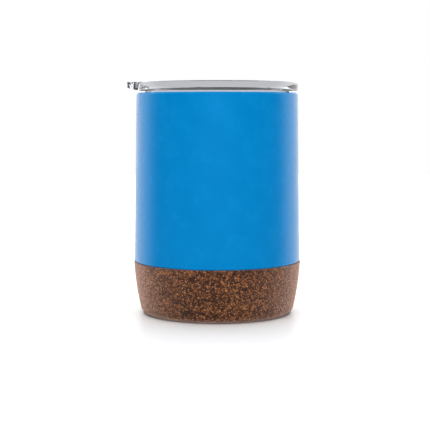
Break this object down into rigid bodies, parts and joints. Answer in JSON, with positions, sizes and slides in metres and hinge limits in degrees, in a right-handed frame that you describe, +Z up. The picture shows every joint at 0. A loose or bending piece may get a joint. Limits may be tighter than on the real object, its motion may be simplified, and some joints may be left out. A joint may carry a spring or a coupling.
{
  "type": "insulated travel tumbler",
  "caption": "Short double-walled steel travel tumbler with a painted shell, a moulded cork base and a clear push-on lid with a thumb tab and a drinking slide.",
  "frame": {"origin": "middle of the flat underside of the cork base, on the cup's axis", "axes": "+Z up along the cup's axis; the lid's thumb tab points along -X and the drinking hole lies towards +X"},
  "size_m": [0.0847, 0.082, 0.113],
  "materials": {
    "blue_paint": "satin powder-coated blue",
    "steel": "brushed and electropolished stainless steel",
    "getter_metal": "pressed metal powder, dark grey",
    "solder_glass": "fused solder glass",
    "cork": "moulded dark agglomerated cork, matte",
    "clear_plastic": "clear moulded copolyester, glossy",
    "dark_grip": "near-black soft-touch plastic",
    "silicone": "translucent white silicone"
  },
  "bodies": {
    "cup": {"outer_shell": "blue_paint", "inner_liner": "steel", "liner_bottom": "steel", "vacuum_base": "steel", "base_cover": "steel", "getter_holder": "steel", "getter": "getter_metal", "glass_seal": "solder_glass", "cork_base": "cork"},
    "seal": {"lid_seal": "silicone"},
    "lid": {"lid": "clear_plastic"},
    "slide": {"slider": "clear_plastic", "slider_grip": "dark_grip", "slider_seal": "silicone"}
  },
  "joints": [
    {"name": "lid_lift", "type": "slide", "parent": "cup", "child": "seal", "axis": [0, 0, 1], "range_m": [0, 0.06]},
    {"name": "lid_turn", "type": "hinge", "parent": "seal", "child": "lid", "pos_m": [0, 0, 0.113], "axis": [0, 0, 1], "continuous": true},
    {"name": "slider_slide", "type": "slide", "parent": "lid", "child": "slide", "axis": [-1, 0, 0], "range_m": [0, 0.012]}
  ]
}
